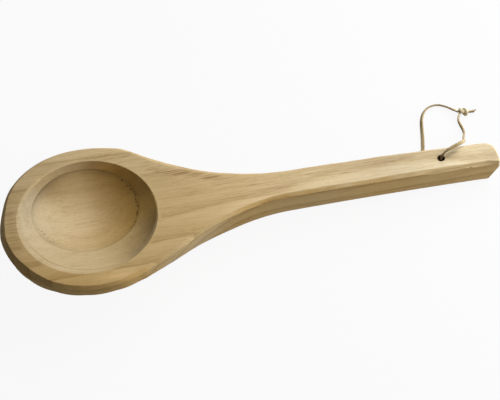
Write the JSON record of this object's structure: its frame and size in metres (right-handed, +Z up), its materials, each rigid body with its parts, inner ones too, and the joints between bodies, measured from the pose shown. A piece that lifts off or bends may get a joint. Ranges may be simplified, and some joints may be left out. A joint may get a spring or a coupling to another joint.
{
  "type": "ladle",
  "caption": "Wooden sauna ladle carved from one board, with a round bowl, a flared neck, a squared handle and a leather hanging lace tied in a knot",
  "frame": {"origin": "on the table, under the middle of the wooden body as it rests on its bowl and handle end", "axes": "+X from the bowl to the handle's end, +Y to the back, where the lace lies, +Z up from the table"},
  "size_m": [0.3986, 0.1439, 0.0429],
  "materials": {
    "carved_wood": "bare carved wood, lightly sanded",
    "leather_lace": "undyed cut leather lace"
  },
  "bodies": {
    "ladle": {"ladle_body": "carved_wood"},
    "lace": {"lace_bore_run": "leather_lace", "lace_upper_leg": "leather_lace", "lace_lower_leg": "leather_lace", "lace_knot": "leather_lace", "lace_long_tail": "leather_lace", "lace_short_tail": "leather_lace"}
  },
  "joints": [
    {"name": "lace_swing", "type": "hinge", "parent": "ladle", "child": "lace", "pos_m": [0.1542, 0, 0.015], "axis": [0, 0, 1], "range_deg": [-6, 100]}
  ]
}
